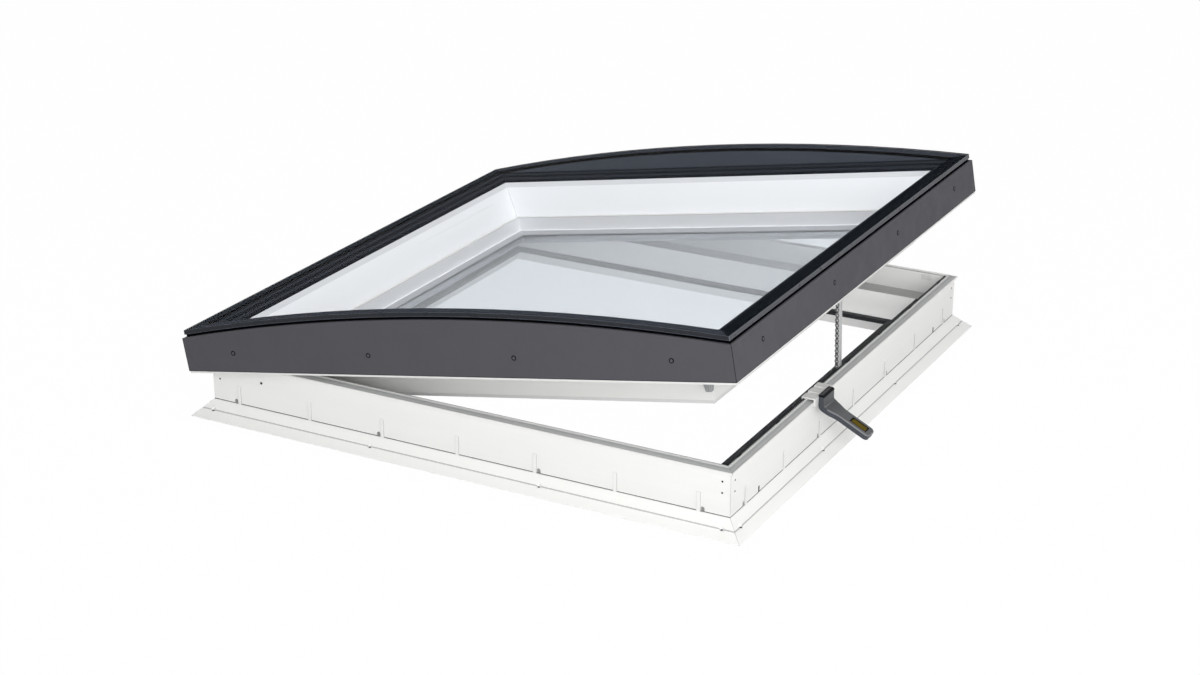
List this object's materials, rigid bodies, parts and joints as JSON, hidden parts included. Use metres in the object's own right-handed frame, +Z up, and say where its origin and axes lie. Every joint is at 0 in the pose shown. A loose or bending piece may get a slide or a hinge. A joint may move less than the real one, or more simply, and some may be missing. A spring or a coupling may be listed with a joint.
{
  "type": "flat roof window",
  "caption": "Square flat roof window with a stepped white frame on a sloped flange and a curved-glass sash standing open on a push chain.",
  "frame": {"origin": "centre of the frame on the roof surface, the middle of the flange screw pattern", "axes": "+Z up, +X from the hinge side to the side that opens, +Y along the hinge line"},
  "size_m": [1.5188, 1.4256, 0.4614],
  "materials": {
    "white_plastic": "satin white rigid plastic",
    "grey_cladding": "matt powder-coated grey sheet",
    "black_rubber": "matt black rubber",
    "black_enamel": "smooth near-black enamel",
    "outer_glass": "clear curved glass",
    "inner_glass": "clear flat glass",
    "spacer_metal": "dull spacer bar",
    "plated_steel": "bright zinc plating",
    "grey_plastic": "mid grey moulded plastic",
    "dark_plastic": "dark grey fine-textured plastic",
    "gold_pad": "dull gold sensing grid"
  },
  "bodies": {
    "root": {"arch_panel_back": "black_enamel", "arch_panel_front": "black_enamel", "chain_anchor": "plated_steel", "chain_drive": "white_plastic", "chain_inner_links": "plated_steel", "chain_outer_links": "plated_steel", "cladding_back": "grey_cladding", "cladding_front": "grey_cladding", "cladding_hinge_side": "grey_cladding", "cladding_opening_side": "grey_cladding", "edge_seal": "black_rubber", "flange_back": "white_plastic", "flange_front": "white_plastic", "flange_hinge_side": "white_plastic", "flange_opening_side": "white_plastic", "frame_back": "white_plastic", "frame_front": "white_plastic", "frame_gasket": "black_rubber", "frame_hinge_side": "white_plastic", "frame_opening_side": "white_plastic", "glass_border": "black_enamel", "glass_spacer": "spacer_metal", "glazing_gasket": "black_rubber", "hinge_frame_leaves": "plated_steel", "hinge_pins": "plated_steel", "hinge_sash_leaves": "plated_steel", "inner_glass_lower": "inner_glass", "inner_glass_upper": "inner_glass", "lock_keepers": "grey_plastic", "lock_pegs": "grey_plastic", "outer_glass": "outer_glass", "reveal_back": "white_plastic", "reveal_front": "white_plastic", "reveal_hinge_side": "white_plastic", "reveal_opening_side": "white_plastic", "reveal_trim": "black_rubber", "sash_back": "white_plastic", "sash_front": "white_plastic", "sash_hinge_side": "white_plastic", "sash_opening_side": "white_plastic", "screw_caps": "grey_cladding", "sensor_body": "dark_plastic", "sensor_clip": "white_plastic", "sensor_pad": "gold_pad"}
  },
  "joints": []
}
